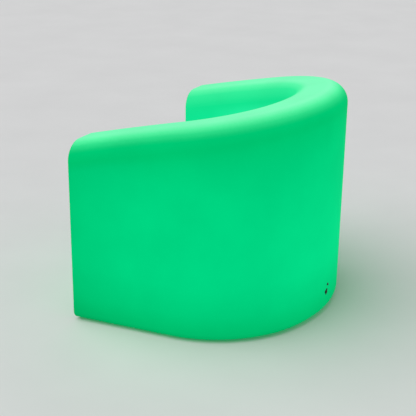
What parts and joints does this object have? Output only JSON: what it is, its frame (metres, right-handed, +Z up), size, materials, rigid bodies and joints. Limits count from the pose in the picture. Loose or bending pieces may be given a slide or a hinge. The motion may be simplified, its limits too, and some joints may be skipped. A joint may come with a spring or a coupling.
{
  "type": "light-up tub seat",
  "caption": "Round-backed tub armchair moulded as a hollow translucent shell, glowing green from a rechargeable light unit in its base, with a push button and capped charging socket.",
  "frame": {"origin": "on the floor, under the middle of the seat's outer box", "axes": "+Z up, +Y towards the seat's back, +X to the sitter's left"},
  "size_m": [0.7988, 0.6008, 0.63],
  "materials": {
    "glow_plastic": "satin, glowing green",
    "black_rubber": "matte",
    "black_plastic": "fine grain",
    "white_plastic": "matte",
    "steel": "zinc plated",
    "brass": "turned",
    "aluminium": "extruded",
    "clear_plastic": "clear",
    "circuit_board": "solder mask",
    "lamp_lens": "clear over phosphor",
    "cell_wrap": "shrink wrap",
    "nickel": "strip",
    "foam": "closed-cell foam",
    "lead_sheath": "smooth"
  },
  "bodies": {
    "seat": {"seat_shell": "glow_plastic", "seat_feet": "black_rubber", "foot_screws": "steel", "breather_plug": "black_rubber", "unit_housing": "black_plastic", "unit_gasket": "black_rubber", "unit_screws": "steel", "unit_inserts": "brass", "battery_tray": "black_plastic", "battery_cells": "cell_wrap", "cell_links": "nickel", "battery_pad": "foam", "control_board": "circuit_board", "board_standoffs": "brass", "board_screws": "steel", "control_chips": "black_plastic", "board_connectors": "white_plastic", "unit_deck": "white_plastic", "deck_gasket": "black_rubber", "deck_screws": "steel", "light_tower": "aluminium", "tower_screw": "steel", "lamp_strips": "white_plastic", "lamp_chips": "lamp_lens", "light_dome": "clear_plastic", "dome_seal": "black_rubber", "dome_screws": "steel", "remote_receiver": "black_plastic", "lead_glands": "black_plastic", "lead_clips": "black_plastic", "power_button_body": "black_plastic", "power_button_spring": "steel", "power_button_contacts": "black_plastic", "power_button_seal": "black_rubber", "charge_socket_body": "black_plastic", "charge_socket_contacts": "brass", "charge_socket_seal": "black_rubber", "port_nuts": "brass", "charge_cap_anchor": "black_rubber", "switch_lead": "lead_sheath", "charge_lead": "lead_sheath"},
    "power_button": {"power_button_stem": "black_plastic"},
    "charge_cap": {"charge_cap": "black_rubber"}
  },
  "joints": [
    {"name": "button_press", "type": "slide", "parent": "seat", "child": "power_button", "axis": [0, -1, 0], "range_m": [0, 0.0012], "stiffness_N_per_m": 400, "springref_m": -0.001, "deforming": ["power_button_spring"]},
    {"name": "cap_hinge", "type": "hinge", "parent": "seat", "child": "charge_cap", "pos_m": [0.0044, 0.298, 0.06967], "axis": [0.8078, 0, 0.5895], "range_deg": [0, 110]}
  ]
}
